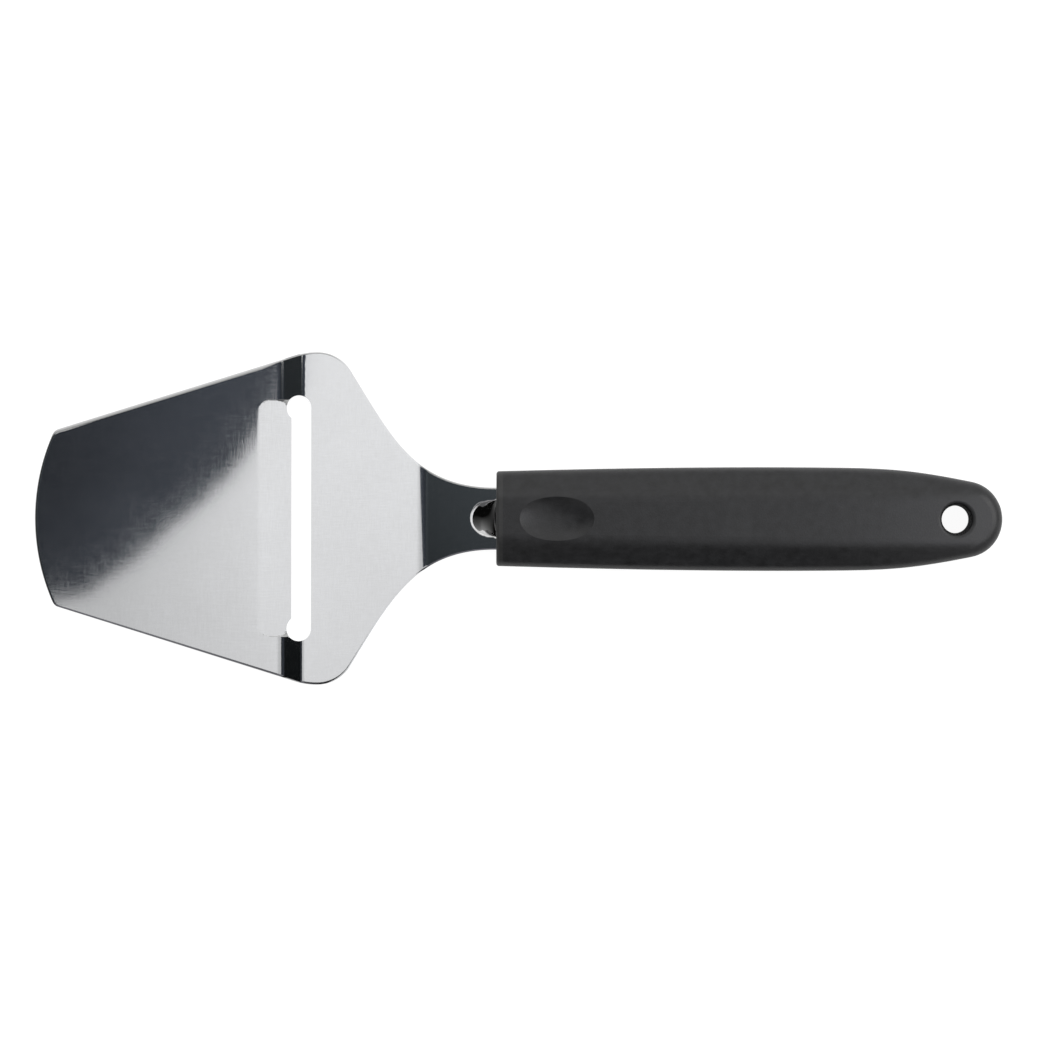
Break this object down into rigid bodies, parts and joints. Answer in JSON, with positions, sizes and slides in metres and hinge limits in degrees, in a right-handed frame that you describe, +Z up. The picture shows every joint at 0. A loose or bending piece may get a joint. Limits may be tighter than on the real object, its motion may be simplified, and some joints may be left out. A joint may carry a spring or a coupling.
{
  "type": "cheese slicer",
  "caption": "Cheese slicer: a pressed steel plate with a slot and a sunken cutting lip, on a moulded handle with a thumb dimple and a hanging hole.",
  "frame": {"origin": "middle of the base of the overall box: on the surface that the slicer lies on, under the middle of its length and width", "axes": "+X from the tip of the blade to the end of the handle, +Y across the blade, +Z up, away from the surface that it lies on"},
  "size_m": [0.2386, 0.0822, 0.0172],
  "materials": {
    "steel": "fine satin polish, with light use marks",
    "core_plastic": "smooth satin",
    "grip_plastic": "fine spark-eroded grain"
  },
  "bodies": {
    "root": {"blade": "steel", "handle_core": "core_plastic", "handle_grip": "grip_plastic"}
  },
  "joints": []
}
